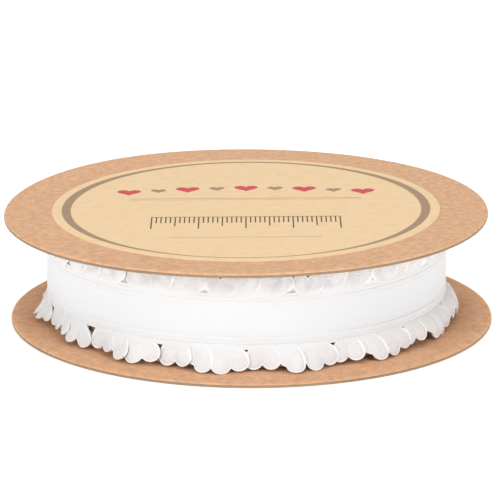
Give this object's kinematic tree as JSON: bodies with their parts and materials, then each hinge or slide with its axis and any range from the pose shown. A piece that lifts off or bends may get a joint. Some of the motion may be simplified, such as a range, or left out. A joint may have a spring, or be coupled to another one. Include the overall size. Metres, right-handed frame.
{
  "type": "heart-edged satin ribbon on a cardboard reel",
  "caption": "White satin ribbon edged with rows of cut hearts, wound between the two round boards of a flat cardboard reel.",
  "frame": {"origin": "centre of the reel's footprint, on the surface it rests on", "axes": "+Z along the reel's axis, upwards; -Y is the front that the picture shows"},
  "size_m": [0.1052, 0.104, 0.0248],
  "materials": {
    "kraft_board": "matt brown kraft board with a cut edge",
    "cream_paper": "smooth cream paper",
    "white_satin": "white satin with narrow woven edges",
    "white_voile": "sheer white voile with sealed edges"
  },
  "bodies": {
    "root": {"flange_lower": "kraft_board", "flange_upper": "kraft_board", "paper_disc": "cream_paper", "ribbon_winding": "white_satin", "hearts_lower": "white_voile", "hearts_upper": "white_voile"}
  },
  "joints": []
}
